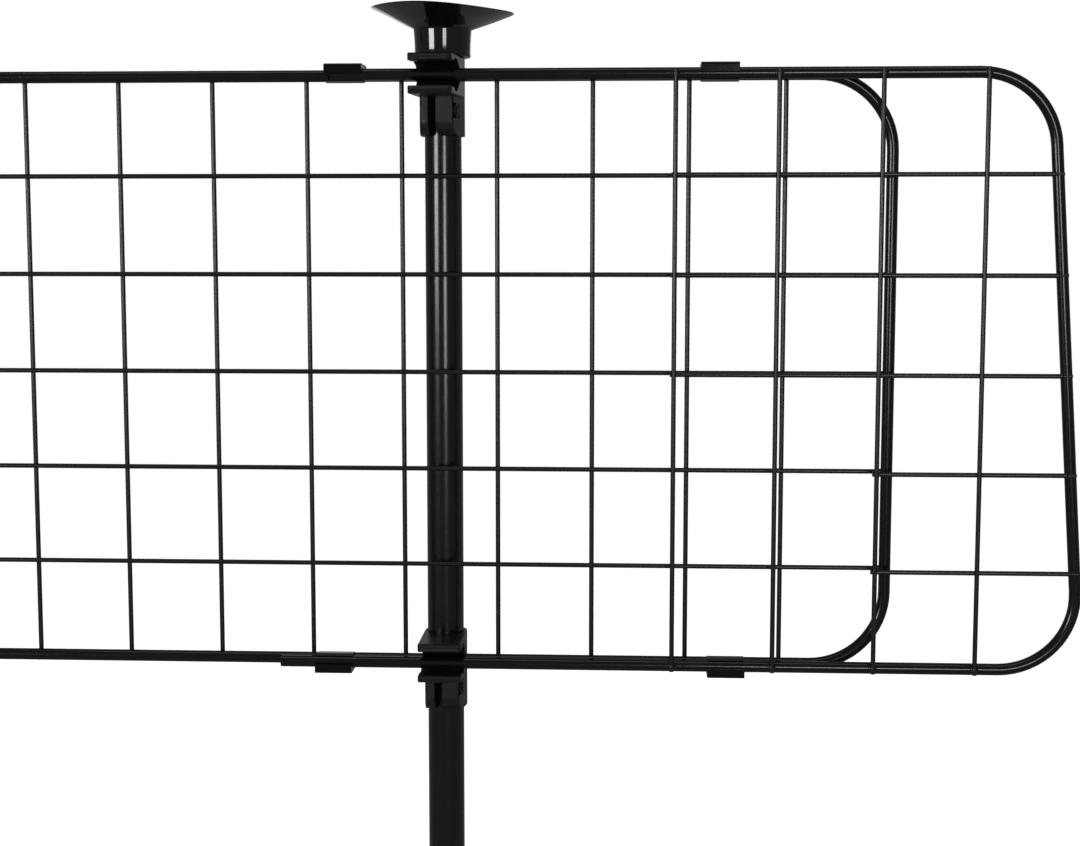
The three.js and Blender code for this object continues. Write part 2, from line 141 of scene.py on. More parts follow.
def soften(obj, width, segments, angle):
    """Rounds the hard edges as a mould or a coat of powder does."""
    speck = 0.002
    bm = bmesh.new()
    bm.from_mesh(obj.data)
    bmesh.ops.remove_doubles(bm, verts=bm.verts, dist=speck)
    bmesh.ops.dissolve_degenerate(bm, edges=bm.edges, dist=speck)
    bm.to_mesh(obj.data)
    bm.free()
    step = obj.modifiers.new("edges", "BEVEL")
    step.width, step.segments = width, segments
    step.limit_method, step.angle_limit = "ANGLE", math.radians(angle)
    step.use_clamp_overlap = True
    smooth(bake(obj))
    step = obj.modifiers.new("normals", "WEIGHTED_NORMAL")
    step.keep_sharp = True
    step.weight = 80
    return bake(obj)


def move(obj, x=0.0, y=0.0, z=0.0):
    obj.data.transform(Matrix.Translation((x, y, z)))
    return obj


def turn(obj, degrees, axis):
    obj.data.transform(Matrix.Rotation(math.radians(degrees), 4, axis))
    return obj


def circle(cx, cy, r, a0, a1, steps):
    """Points on an arc, in degrees."""
    out = []
    for i in range(steps + 1):
        a = math.radians(a0 + (a1 - a0) * i / steps)
        out.append((cx + r * math.cos(a), cy + r * math.sin(a)))
    return out


def full_circle(cx, cy, r, steps):
    return circle(cx, cy, r, 0, 360, steps)[:-1]


def skin(rings, sides, closed=False):
    """Quads between rings of vertices that lie one after another in the list."""
    faces = []
    for i in range(rings if closed else rings - 1):
        a, b = i * sides, (i + 1) % rings * sides
        faces += [(a + k, a + (k + 1) % sides, b + (k + 1) % sides, b + k) for k in range(sides)]
    return faces


def caps(rings, sides):
    last = (rings - 1) * sides
    return [tuple(reversed(range(sides))), tuple(range(last, last + sides))]


def side_view(u, v, w):
    """The point at an outline's u and v and at depth w: u forwards, v up, w to the right."""
    return (w, -u, v)


def plan_view(u, v, w):
    """The same for an outline that lies flat: w up."""
    return (u, v, w)


def prism(name, outline, low, high, to3d):
    """A closed outline pushed from low to high."""
    verts = [to3d(u, v, w) for w in (low, high) for u, v in outline]
    return solid(name, verts, caps(2, len(outline)) + skin(2, len(outline)))


def rounded_prism(name, outline, half, r, steps, to3d):
    """A counter-clockwise outline pushed from -half to half, which shrinks at both ends to round their edges."""
    n = len(outline)
    outward = []
    for i in range(n):
        (ax, ay), (bx, by), (cx, cy) = outline[i - 1], outline[i], outline[(i + 1) % n]
        first, second = math.hypot(bx - ax, by - ay), math.hypot(cx - bx, cy - by)
        nu = (by - ay) / first + (cy - by) / second
        nv = (ax - bx) / first + (bx - cx) / second
        size = math.hypot(nu, nv)
        outward.append((nu / size, nv / size))
    stations = []
    for k in range(steps + 1):
        a = math.radians(90 * k / steps)
        stations.append((half - r * (1 - math.cos(a)), r * (1 - math.sin(a))))
    stations = [(-w, inset) for w, inset in stations] + [(w, inset) for w, inset in reversed(stations)]
    verts = []
    for w, inset in stations:
        verts += [to3d(u - nu * inset, v - nv * inset, w) for (u, v), (nu, nv) in zip(outline, outward)]
    return solid(name, verts, caps(len(stations), n) + skin(len(stations), n))


def block(name, low, high):
    pts = [(low[0], low[1]), (high[0], low[1]), (high[0], high[1]), (low[0], high[1])]
    return prism(name, pts, low[2], high[2], plan_view)


def lathe(name, profile, steps):
    """A solid of revolution about Z from (radius, height) points; it closes on itself or on the axis."""
    on_axis = 1e-6
    verts, rings = [], []
    for r, z in profile:
        if r < on_axis:
            rings.append([len(verts)] * steps)
            verts.append((0, 0, z))
        else:
            rings.append(list(range(len(verts), len(verts) + steps)))
            for i in range(steps):
                a = 2 * math.pi * i / steps
                verts.append((r * math.cos(a), r * math.sin(a), z))
    faces = []
    closed = profile[0][0] > on_axis
    count = len(rings)
    for k in range(count if closed else count - 1):
        a, b = rings[k], rings[(k + 1) % count]
        for i in range(steps):
            j = (i + 1) % steps
            quad = [a[i], a[j], b[j], b[i]]
            quad = [v for n, v in enumerate(quad) if v not in quad[:n]]
            if len(quad) > 2:
                faces.append(tuple(quad))
    return solid(name, verts, faces)


def threaded(name, radius, depth, pitch, low, high):
    """A helical thread on a closed cylinder about Z, which eases out towards both tips."""
    steps, rows_per_turn, tip = 48, 10, 0.6
    rows = max(4, int((high - low) / pitch * rows_per_turn))
    verts = []
    for i in range(rows + 1):
        z = low + (high - low) * i / rows
        edge = min(z - low, high - z)
        ease = max(0.0, 1 - edge / tip) * depth
        for k in range(steps):
            t = 2 * math.pi * k / steps
            phase = (z / pitch - k / steps) % 1.0
            r = radius - max(depth * (1 - abs(2 * phase - 1)), ease)
            verts.append((r * math.cos(t), r * math.sin(t), z))
    return solid(name, verts, skin(rows + 1, steps) + caps(rows + 1, steps))


def rod_along(points, radius, sides, closed=False):
    """Vertices and faces of a round rod along points in a plane of constant y, mitred at every point."""
    nil, least_mitre = 1e-6, 0.5
    count = len(points)
    verts = []
    for i, p in enumerate(points):
        before = points[i - 1] if closed or i else p
        after = points[(i + 1) % count] if closed or i < count - 1 else p
        a = (p - before).normalized() if (p - before).length > nil else (after - p).normalized()
        b = (after - p).normalized() if (after - p).length > nil else a
        along = (a + b).normalized()
        across = Vector((-along.z, 0, along.x)) / max(along.dot(a), least_mitre)
        for k in range(sides):
            t = 2 * math.pi * k / sides
            verts.append(p + across * radius * math.cos(t) + Vector((0, -radius * math.sin(t), 0)))
    ends = [] if closed else [tuple(reversed(face)) for face in caps(count, sides)]
    return verts, skin(count, sides, closed) + ends


def bent(corners, radius, steps, closed=False):
    """The corners as (x, z) with each bend as an arc, in the plane y = 0."""
    pts = [Vector((x, 0, z)) for x, z in corners]
    count = len(pts)
    out = []
    for i, p in enumerate(pts):
        if not closed and i in (0, count - 1):
            out.append(p)
            continue
        into = (p - pts[i - 1]).normalized()
        leave = (pts[(i + 1) % count] - p).normalized()
        bend = into.angle(leave)
        start = p - into * radius * math.tan(bend / 2)
        inward = (leave - into * into.dot(leave)).normalized()
        centre = start + inward * radius
        arc = []
        for k in range(steps + 1):
            a = bend * k / steps
            arc.append(centre - inward * radius * math.cos(a) + into * radius * math.sin(a))
        out += [start - into * HOLD] + arc + [arc[-1] + leave * HOLD]
    return out


# Materials


def new_material(name, base, roughness, specular=0.5, metallic=0.0):
    mat = bpy.data.materials.new(name)
    mat.use_nodes = True
    shader = mat.node_tree.nodes["Principled BSDF"]
    shader.inputs["Base Color"].default_value = (*base, 1)
    shader.inputs["Roughness"].default_value = roughness
    shader.inputs["Metallic"].default_value = metallic
    shader.inputs["Specular IOR Level"].default_value = specular
    return mat, mat.node_tree, shader


def add_node(tree, kind, **inputs):
    node = tree.nodes.new(kind)
    for key, value in inputs.items():
        node.inputs[key.replace("_", " ")].default_value = value
    return node


def object_coords(tree):
    return add_node(tree, "ShaderNodeTexCoord").outputs["Object"]


def noise(tree, coords, scale, detail, roughness=0.55):
    node = add_node(tree, "ShaderNodeTexNoise", Scale=scale, Detail=detail, Roughness=roughness)
    tree.links.new(coords, node.inputs["Vector"])
    return node.outputs["Fac"]


def ramp(tree, value, stops):
    """Colours by the value, from two stops of position and colour."""
    node = tree.nodes.new("ShaderNodeValToRGB")
    for element, (position, colour) in zip(node.color_ramp.elements, stops):
        element.position = position
        element.color = (*colour, 1)
    tree.links.new(value, node.inputs["Fac"])
    return node.outputs["Color"]


def spread(tree, value, low, high, start=0.25, end=0.75):
    """A value between start and end, stretched to lie between low and high."""
    node = add_node(tree, "ShaderNodeMapRange", From_Min=start, From_Max=end, To_Min=low, To_Max=high)
    tree.links.new(value, node.inputs["Value"])
    return node.outputs["Result"]


def bump(tree, height, distance, below=None):
    node = add_node(tree, "ShaderNodeBump", Strength=1.0, Distance=distance)
    tree.links.new(height, node.inputs["Height"])
    if below is not None:
        tree.links.new(below, node.inputs["Normal"])
    return node.outputs["Normal"]


def coated(name, base, light, gloss, specular, peel, grain):
    """A black finish: a faint mottle in colour, gloss that varies a little, and two sizes of bump."""
    mat, tree, shader = new_material(name, base, sum(gloss) / 2, specular)
    coords = object_coords(tree)
    mottle = noise(tree, coords, 90.0, 5.0, 0.6)
    tree.links.new(ramp(tree, mottle, [(0.3, base), (0.72, light)]), shader.inputs["Base Color"])
    tree.links.new(spread(tree, noise(tree, coords, 260.0, 4.0), *gloss), shader.inputs["Roughness"])
    wave = bump(tree, noise(tree, coords, peel[0], 1.5), peel[1])
    fine = bump(tree, noise(tree, coords, grain[0], 2.0), grain[1], below=wave)
    tree.links.new(fine, shader.inputs["Normal"])
    return mat


def blackened(name, base, light, gloss):
    """Blackened steel: patchy colour, gloss that varies, and fine scratches."""
    mat, tree, shader = new_material(name, base, sum(gloss) / 2, metallic=1.0)
    coords = object_coords(tree)
    patches = noise(tree, coords, 700.0, 6.0, 0.65)
    tree.links.new(ramp(tree, patches, [(0.35, base), (0.7, light)]), shader.inputs["Base Color"])
    tree.links.new(spread(tree, noise(tree, coords, 1500.0, 4.0), *gloss), shader.inputs["Roughness"])
    stretch = add_node(tree, "ShaderNodeMapping", Scale=(6.0, 1.0, 1.0))
    tree.links.new(coords, stretch.inputs["Vector"])
    scratches = bump(tree, noise(tree, stretch.outputs["Vector"], 2600.0, 3.0), 0.00001)
    tree.links.new(scratches, shader.inputs["Normal"])
    return mat


# Each finish: dark and light colour, least and most roughness, specular level, then scale and depth in metres
# of its orange peel and of its grain
powder_coat = coated("powder_coat_black", (0.0022, 0.0022, 0.0024), (0.0042, 0.0042, 0.0045),
                     (0.15, 0.2), 0.38, (420.0, 5e-7), (2600.0, 4e-8))
wire_coat = coated("wire_coat_black", (0.0022, 0.0022, 0.0024), (0.0042, 0.0042, 0.0045),
                   (0.24, 0.3), 0.5, (420.0, 5e-7), (2600.0, 4e-8))
tube_coat = coated("tube_coat_black", (0.0018, 0.0018, 0.002), (0.0034, 0.0034, 0.0037),
                   (0.17, 0.22), 0.48, (300.0, 1.8e-6), (2600.0, 6e-8))
clip_plastic = coated("clip_plastic_black", (0.0024, 0.0024, 0.0026), (0.0044, 0.0044, 0.0047),
                      (0.1, 0.15), 0.22, (700.0, 8e-7), (3600.0, 1e-7))
clamp_plastic = coated("clamp_plastic_black", (0.0036, 0.0036, 0.0038), (0.0068, 0.0068, 0.0072),
                       (0.38, 0.48), 0.36, (900.0, 3e-6), (4200.0, 6e-7))
cup_rubber = coated("cup_rubber_black", (0.0022, 0.0022, 0.0022), (0.0042, 0.0042, 0.0042),
                    (0.05, 0.09), 0.56, (260.0, 1e-6), (2400.0, 5e-8))
black_steel = blackened("blackened_steel", (0.01, 0.01, 0.0105), (0.022, 0.022, 0.023), (0.5, 0.64))


def finish_piece(obj, material, body, node):
    """Scales to metres, dresses the piece, and lets it ride in place of its CAD node."""
    obj.data.transform(Matrix.Scale(MM, 4))
    if material is not None:
        obj.data.materials.clear()
        obj.data.materials.append(material)
        for face in obj.data.polygons:
            face.material_index = 0
    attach(obj, body)
    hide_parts(node)


def copy_at(master, name, offset, rotation):
    mesh = master.data.copy()
    mesh.transform(rotation)
    mesh.transform(Matrix.Translation(Vector(offset)))
    mesh.name = name
    return link(name, mesh)


# Wire panels


class Welded:
    """Rods, wires and weld beads gathered into one mesh; the rods have one coat, the rest another."""

    def __init__(self):
        self.verts, self.faces, self.coats = [], [], []

    def add(self, verts, faces, offset=(0, 0, 0), coat=1):
        base = len(self.verts)
        off = Vector(offset)
        self.verts += [Vector(v) + off for v in verts]
        self.faces += [tuple(base + i for i in f) for f in faces]
        self.coats += [coat] * len(faces)

    def rod(self, line, forwards, closed=False):
        verts, faces = rod_along(line, ROD, 28, closed)
        self.add(verts, faces, (0, -forwards, 0), 0)

    def wire(self, a, b):
        """A straight wire with cropped, coated ends."""
        sides, nose = 16, 0.35
        a, b = Vector(a), Vector(b)
        along = (b - a).normalized()
        across = Vector((0, -1, 0))
        third = along.cross(across)
        stations = [(0, WIRE - nose), (nose * 0.35, WIRE - nose * 0.3), (nose, WIRE), (nose + HOLD, WIRE)]
        length = (b - a).length
        stations += [(length - d, r) for d, r in reversed(stations)]
        verts = []
        for d, r in stations:
            for k in range(sides):
                t = 2 * math.pi * k / sides
                verts.append(a + along * d + across * r * math.cos(t) + third * r * math.sin(t))
        self.add(verts, skin(len(stations), sides) + caps(len(stations), sides))

    def bead(self, centre, radii, around=12, rows=6):
        """A squeezed-out weld, an ellipsoid half sunk into what it joins."""
        rx, ry, rz = radii
        verts, faces = [(0, 0, rz)], []
        for i in range(1, rows):
            p = math.pi * i / rows
            for k in range(around):
                t = 2 * math.pi * k / around
                verts.append((rx * math.sin(p) * math.cos(t), ry * math.sin(p) * math.sin(t), rz * math.cos(p)))
        verts.append((0, 0, -rz))
        last = len(verts) - 1
        for k in range(around):
            m = (k + 1) % around
            faces.append((0, 1 + k, 1 + m))
            faces.append((last, last - around + m, last - around + k))
            for i in range(rows - 2):
                a = 1 + i * around
                faces.append((a + k, a + around + k, a + around + m, a + m))
        self.add(verts, faces, centre)

    def crossing(self, x, y, z):
        """The weld between an upright and a cross wire."""
        self.bead((x, y, z), (1.42, 0.62, 1.42), 10, 4)

    def butt(self, x, y, z):
        """The weld of a cross wire's end to the side rod."""
        self.bead((x, y, z), (1.5, 1.5, 1.6))

    def make(self, name, mirror=False):
        verts = [(-v.x, v.y, v.z) if mirror else tuple(v) for v in self.verts]
        obj = smooth(solid(name, verts, self.faces), 50)
        obj.data.materials.append(powder_coat)
        obj.data.materials.append(wire_coat)
        for face, coat in zip(obj.data.polygons, self.coats):
            face.material_index = coat
        return obj


# Depths of the uprights' and the cross wires' middle lines and of the rail welds, from the middle of the rods,
# and how far inwards of the side rod's middle the cross wires' end welds lie
UPRIGHT_OFF, CROSS_OFF, WELD_OFF, BUTT_IN = 3.7, 1.9, 2.85, 2.6


def main_panel():
    """The uprights lie behind the rails, the cross wires before the uprights."""
    overrun, weld_in, weld = 0.1, 1.2, (1.75, 0.75, 1.6)
    seam = (0.9, ROD + 0.18, ROD + 0.18)
    w = Welded()
    corners = [(-HALF_PANEL, BOTTOM), (-HALF_PANEL, TOP), (HALF_PANEL, TOP), (HALF_PANEL, BOTTOM)]
    w.rod(bent(corners, CORNER, 16, True), MAIN_S, True)
    up_y, cross_y = -MAIN_S + UPRIGHT_OFF, -MAIN_S + CROSS_OFF
    for c in range(COLUMNS):
        x = (c - (COLUMNS - 1) / 2) * PITCH
        w.wire((x, up_y, BOTTOM - overrun), (x, up_y, TOP + overrun))
        for z in (BOTTOM + weld_in, TOP - weld_in):
            w.bead((x, -MAIN_S + WELD_OFF, z), weld)
        for r in range(1, ROWS + 1):
            w.crossing(x, (up_y + cross_y) / 2, BOTTOM + r * CELL)
    for r in range(1, ROWS + 1):
        z = BOTTOM + r * CELL
        w.wire((-HALF_PANEL, cross_y, z), (HALF_PANEL, cross_y, z))
        for s in (-1, 1):
            w.butt(s * (HALF_PANEL - BUTT_IN), cross_y, z)
    for z in (BOTTOM, TOP):
        w.bead((0.0, -MAIN_S, z), seam, 24, 8)
    return w


def side_at(z):
    """How far out the middle line of a wing's side lies at a height."""
    return WING_SIDE + WING_LEAN * (MID - z) / (TOP - MID)


def wing_panel(top_end, bottom_end):
    """The uprights lie before the rails, their ends pressed flat on them; the lower cross wires are short."""
    overrun, weld, pressed_off, pressed = 2.4, (2.3, 0.8, 2.3), 3.62, (1.5, 1.36, 2.6)
    short_rows, short_first, tail, side_bite = 2, 2, 2.0, 0.3
    w = Welded()
    corners = [(top_end, TOP), (side_at(TOP), TOP), (side_at(BOTTOM), BOTTOM), (bottom_end, BOTTOM)]
    w.rod(bent(corners, CORNER, 16), WING_S)
    up_y, cross_y = -WING_S - UPRIGHT_OFF, -WING_S - CROSS_OFF
    for c in range(WING_COLUMNS):
        x = WING_FIRST + c * WING_PITCH
        w.wire((x, up_y, BOTTOM - overrun), (x, up_y, TOP + overrun))
        for z in (BOTTOM, TOP):
            w.bead((x, -WING_S - WELD_OFF, z), weld)
            w.bead((x, -WING_S - pressed_off, z), pressed, 16, 8)
    for r in range(1, ROWS + 1):
        z = BOTTOM + r * CELL
        first = short_first if r <= short_rows else 0
        w.wire((WING_FIRST + first * WING_PITCH - tail, cross_y, z), (side_at(z) + ROD - side_bite, cross_y, z))
        for c in range(first, WING_COLUMNS):
            w.crossing(WING_FIRST + c * WING_PITCH, (up_y + cross_y) / 2, z)
        w.butt(side_at(z) - BUTT_IN, cross_y, z)
    return w


# The wing's top rod ends inside its inner top clip
END_IN_CLIP = 6.7

finish_piece(main_panel().make("main_panel_wirework"), None, "guard_panel", "main_panel")
wing = wing_panel(place("right_inner_top_clip")[2].x - END_IN_CLIP, place("right_wing_panel")[0].x)
for side in ("right", "left"):
    piece = wing.make(f"{side}_wing_wirework", mirror=side == "left")
    finish_piece(piece, None, f"{side}_wing", f"{side}_wing_panel")


# Rod clips


def rod_clip():
    """Two channels on one web, its underside a shallow V; u is counted forwards from the main panel's rod."""
    half_length, wall, lip, reach, gap, corner = 9.5, 2.0, 0.6, 1.2, 0.6, 1.4
    channel, layer = ROD + FIT, WING_S - MAIN_S
    back, front, top, bottom = -channel - wall, layer + channel + wall, channel + wall, -channel - lip
    foot = math.degrees(math.asin(gap / channel))
    lip_angle = math.degrees(math.acos(reach / channel))
    middle, keel, knee = layer / 2, 1.0, 1.6
    rise, knee_rise = 0.72, 0.72 * 0.36
    outline = [(back, gap)]
    outline += circle(back + corner, top - corner, corner, 180, 90, 8)
    outline += circle(front - corner, top - corner, corner, 90, 0, 8)
    outline += [(front, gap)]
    outline += circle(layer, 0, channel, foot, 360 - lip_angle, 40)
    outline += [(layer + reach, bottom + rise), (layer - knee, bottom + knee_rise), (middle + keel, bottom)]
    outline += [(middle - keel, bottom), (knee, bottom + knee_rise), (-reach, bottom + rise)]
    outline += circle(0, 0, channel, 180 + lip_angle, 540 - foot, 40)
    return soften(prism("rod_clip", outline, -half_length, half_length, side_view), 0.32, 3, 38)


clip = rod_clip()
for side in ("right", "left"):
    for where in ("inner_top", "inner_bottom", "outer_top", "outer_bottom"):
        node = f"{side}_{where}_clip"
        low = where.endswith("bottom")
        upside_down = Matrix.Rotation(math.pi if low else 0.0, 4, "Y")
        spot = (place(node)[2].x, -MAIN_S, BOTTOM if low else TOP)
        finish_piece(copy_at(clip, f"{node}_moulding", spot, upside_down), clip_plastic, f"{side}_wing", node)
drop(clip)


# Pole clamps, their screws and nuts. A clamp's height is counted from the middle of its block.

# Block: half height, width, and reach forwards; the round cavity in its mouth: radius and place forwards
HALF_H, WIDTH, NOSE = 10.1, 22.5, 35.8
CAVITY_R, CAVITY_S = 8.0, 21.5

# The screw's axis, forwards and in height; the nut's size across its flats, and where it lies on the axis
SCREW_S, SCREW_Z = 12.6, -17.2
NUT_FLATS, NUT_LOW, NUT_HIGH = 7.0, 6.6, 9.8

# Where the screw's head ends on the axis
HEAD_SEAT = -6.5


def clamp_outline():
    nose_r, lip_r, mouth, seat_r, web = 3.0, 0.9, 6.2, 5.6, 2.1
    seat_s = POLE_R + FIT + web + seat_r
    a = math.degrees(math.asin(mouth / CAVITY_R))
    pts = [(-WIDTH, -HALF_H)]
    pts += circle(NOSE - nose_r, -HALF_H + nose_r, nose_r, -90, 0, 10)
    pts += circle(NOSE - lip_r, -mouth - lip_r, lip_r, 0, 90, 6)[1:]
    pts += circle(CAVITY_S, 0, CAVITY_R, -a, -90, 10)
    pts += circle(seat_s, 0, seat_r, -90, -270, 32)
    pts += circle(CAVITY_S, 0, CAVITY_R, 90, a, 10)
    pts += circle(NOSE - lip_r, mouth + lip_r, lip_r, -90, 0, 6)
    pts += circle(NOSE - nose_r, HALF_H - nose_r, nose_r, 0, 90, 10)[1:]
    pts += [(-WIDTH, HALF_H)]
    return pts


def clamp_block(half):
    """The block with its mouth, round behind and with rounded corners in front."""
    side_r, corner, spare = 0.85, 3.2, 0.02
    body = rounded_prism("pole_clamp", clamp_outline(), half, side_r, 5, side_view)
    wide, front = half + spare, -NOSE - spare + corner
    plan = circle(-wide + corner, front, corner, 180, 270, 10) + circle(wide - corner, front, corner, 270, 360, 10)
    plan += circle(0, 0, wide, 0, 180, 48)
    return carve(body, prism("plan", plan, -HALF_H - OVERRUN, HALF_H + OVERRUN, plan_view), "INTERSECT")


# Boss under the block: half its width, and reach forwards; how far the ring and the boss hang down
BOSS_HALF, BOSS_S = 8.9, 17.5
RING_DROP, BOSS_DROP = 29.6, 21.2


def clamp_boss(half):
    """The boss, which runs into the ring around the pole and curves up in front of it."""
    corner = 2.0
    plan = circle(-BOSS_HALF + corner, -BOSS_S + corner, corner, 180, 270, 8)
    plan += circle(BOSS_HALF - corner, -BOSS_S + corner, corner, 270, 360, 8)
    tangent = math.degrees(math.atan2(-BOSS_S, BOSS_HALF) + math.acos(half / math.hypot(BOSS_HALF, BOSS_S)))
    plan += circle(0, 0, half, tangent, 180 - tangent, 64)
    boss = prism("boss", plan, -RING_DROP, -HALF_H + OVERRUN, plan_view)
    rise, run = RING_DROP - BOSS_DROP, BOSS_S - POLE_R
    radius = (rise ** 2 + run ** 2) / (2 * rise)
    sweep = math.degrees(math.asin(run / radius))
    under = [(POLE_R, -RING_DROP - OVERRUN)]
    under += circle(POLE_R, -RING_DROP + radius, radius, -90, -90 + sweep, 14)
    under += [(BOSS_S + OVERRUN, -BOSS_DROP), (BOSS_S + OVERRUN, -RING_DROP - OVERRUN)]
    return carve(boss, prism("under", under, -half - OVERRUN, half + OVERRUN, side_view))


def pole_clamp():
    slit, recess_deep, hole_r = (-4.5, -0.3), 3.0, 2.25
    counterbore_r, window_up = 4.1, 3.8
    half = WIDTH / 2
    body = carve(clamp_block(half), clamp_boss(half), "UNION")
    bore = full_circle(0, 0, POLE_R + FIT, 96)
    carve(body, prism("bore", bore, -RING_DROP - OVERRUN, HALF_H + OVERRUN, plan_view))
    carve(body, block("slit", (slit[0], -BOSS_S - OVERRUN, -RING_DROP - OVERRUN), (slit[1], 0, -HALF_H)))
    recess = full_circle(CAVITY_S, 0, CAVITY_R, 64)
    carve(body, prism("recess", recess, half - recess_deep, half + OVERRUN, side_view))
    hole = full_circle(SCREW_S, SCREW_Z, hole_r, 40)
    carve(body, prism("hole", hole, -half - OVERRUN, half + OVERRUN, side_view))
    counterbore = full_circle(SCREW_S, SCREW_Z, counterbore_r, 56)
    carve(body, prism("counterbore", counterbore, -half - OVERRUN, HEAD_SEAT + FIT, side_view))
    nut_reach = NUT_FLATS / math.sqrt(3) + FIT
    carve(body, block("window", (NUT_LOW - FIT, -SCREW_S - nut_reach, SCREW_Z - window_up),
                      (half + OVERRUN, -SCREW_S + nut_reach, SCREW_Z + window_up)))
    return soften(body, 0.28, 2, 40)


def on_screw_axis(obj):
    """From the Z axis to the axis of the clamp's screw."""
    return move(turn(obj, 90, "Y"), 0, -SCREW_S, SCREW_Z)


def clamp_screw():
    """Pan head with a cross recess, thread towards the nut."""
    head, neck, neck_r = 2.6, 3.0, 1.9
    slot_long, slot_half, slot_deep = 2.3, 0.55, 1.3
    shaft_r, groove, pitch, start, tip = 1.98, 0.3, 0.7, 2.0, 10.2
    top = HEAD_SEAT - head
    profile = [(0, top), (2.2, top), (3.2, top + 0.45), (3.68, top + 1.2)]
    profile += [(3.8, HEAD_SEAT - 0.25), (3.6, HEAD_SEAT)]
    profile += [(neck_r, HEAD_SEAT), (neck_r, HEAD_SEAT + neck), (0, HEAD_SEAT + neck)]
    body = lathe("clamp_screw", profile, 48)
    for x, y in ((slot_half, slot_long), (slot_long, slot_half)):
        carve(body, block("cross", (-x, -y, top - OVERRUN), (x, y, top + slot_deep)))
    carve(body, threaded("shaft", shaft_r, groove, pitch, HEAD_SEAT + start, tip), "UNION")
    return smooth(on_screw_axis(body), 30)


def clamp_nut():
    """A hexagon nut with chamfered corners and bore."""
    speck, chamfer, face_r, cone_r, bore_r, mouth_r = 1e-3, 0.4, 3.55, 4.2, 2.2, 2.6
    body = prism("clamp_nut", full_circle(0, 0, NUT_FLATS / math.sqrt(3), 6), NUT_LOW, NUT_HIGH, plan_view)
    low, high = NUT_LOW - speck, NUT_HIGH + speck
    cone = [(0, low), (face_r, low), (cone_r, NUT_LOW + chamfer)]
    cone += [(cone_r, NUT_HIGH - chamfer), (face_r, high), (0, high)]
    carve(body, lathe("cone", cone, 72), "INTERSECT")
    low, high = NUT_LOW - OVERRUN, NUT_HIGH + OVERRUN
    bore = [(0, low), (mouth_r, low), (mouth_r, NUT_LOW), (bore_r, NUT_LOW + chamfer)]
    bore += [(bore_r, NUT_HIGH - chamfer), (mouth_r, NUT_HIGH), (mouth_r, high), (0, high)]
    carve(body, lathe("bore", bore, 48))
    return smooth(on_screw_axis(body), 25)


# The upper clamps stand askew on their poles, by degrees
ASKEW = 5.5

clamp, screw, nut = pole_clamp(), clamp_screw(), clamp_nut()
for side, sign in (("right", 1), ("left", -1)):
    for where in ("top", "bottom"):
        node = f"{side}_{where}_clamp"
        spot = (sign * POLE_X, 0, place(node)[1].z - HALF_H)
        skew = Matrix.Rotation(math.radians(-ASKEW * sign if where == "top" else 0), 4, "Z")
        for master, name, material, replaced, slot in (
            (clamp, f"{node}_moulding", clamp_plastic, node, "clamp_plastic"),
            (screw, f"{node}_screw_m4", black_steel, f"{node}_screw", "black_steel"),
            (nut, f"{node}_nut_m4", black_steel, f"{node}_nut", "black_steel"),
        ):
            finish_piece(copy_at(master, name, spot, skew), material, "guard_panel", replaced)
for master in (clamp, screw, nut):
    drop(master)


# Poles. A lock's heights are counted from the foot of the outer tube.


def tube(name, radius, wall, low, high):
    e = 0.35
    inside = radius - wall
    profile = [(radius - e, low), (radius, low + e), (radius, high - e), (radius - e, high)]
    profile += [(inside + e / 2, high), (inside, high - e), (inside, low + e), (inside + e / 2, low)]
    return smooth(lathe(name, profile, 128), 40)


# Cup: radius of its rim, then the heights of stem, cone and rim, which add up to its face
CUP_RIM = 36.5
CUP_STEM, CUP_CONE, CUP_EDGE = 14.1, 7.4, 2.0
CUP_FACE = CUP_STEM + CUP_CONE + CUP_EDGE


def cup_profile(tube_r):
    """Looks up from z = 0 at the foot of the stem: socket, stem, cone, thin rim, and the hollow with two ribs."""
    socket, socket_top, e = tube_r + FIT, 13.0, 0.5
    pts = [(0, socket_top), (socket - e, socket_top), (socket, socket_top - e), (socket, e), (socket + 0.4, 0)]
    foot_x, foot_r = 13.48, 0.9
    pts += circle(foot_x, foot_r, foot_r, -90, 0, 6) + [(14.36, 1.3)]
    # The stem widens towards the cone ever faster, and a little towards its foot
    stem_r, flare, foot_flare = 14.3, 0.0038, 0.06
    for h in (1.6, 2.4, 3.4, 4.6, 6.0, 7.5, 9.0, 10.5, 12.0, 13.2):
        pts.append((stem_r + flare * (h - 1.5) ** 2 + foot_flare * max(0.0, (2.4 - h) / 1.4) ** 2, h))
    cone_r, cone_z = 15.1, CUP_STEM + 0.15
    pts += [(14.86, CUP_STEM - 0.3), (cone_r, cone_z)]
    lip_r, lip_z = CUP_RIM - 0.9, CUP_FACE - 0.72
    rings = 5
    for i in range(1, rings + 1):
        u = i / rings
        pts.append((cone_r + (lip_r - cone_r) * u, cone_z + (lip_z - cone_z) * u))
    for inset, drop_by in ((0.3, 0.46), (0.04, 0.3), (0, 0.2), (0.06, 0.08), (0.3, 0)):
        pts.append((CUP_RIM - inset, CUP_FACE - drop_by))
    hollow, hollow_r, brim, rings = 4.6, 33.2, 0.35, 12
    pts += [(33.9, CUP_FACE), (hollow_r, CUP_FACE - brim)]
    for i in range(1, rings):
        u = i / rings
        r, z = hollow_r * (1 - u), CUP_FACE - brim - (hollow - brim) * math.sin(u * math.pi / 2)
        pts.append((r, z))
        if i in (3, 6):
            pts += [(r - 0.5, z + 0.28), (r - 1.0, z + 0.28 - 0.32)]
    return pts + [(0, CUP_FACE - hollow)]


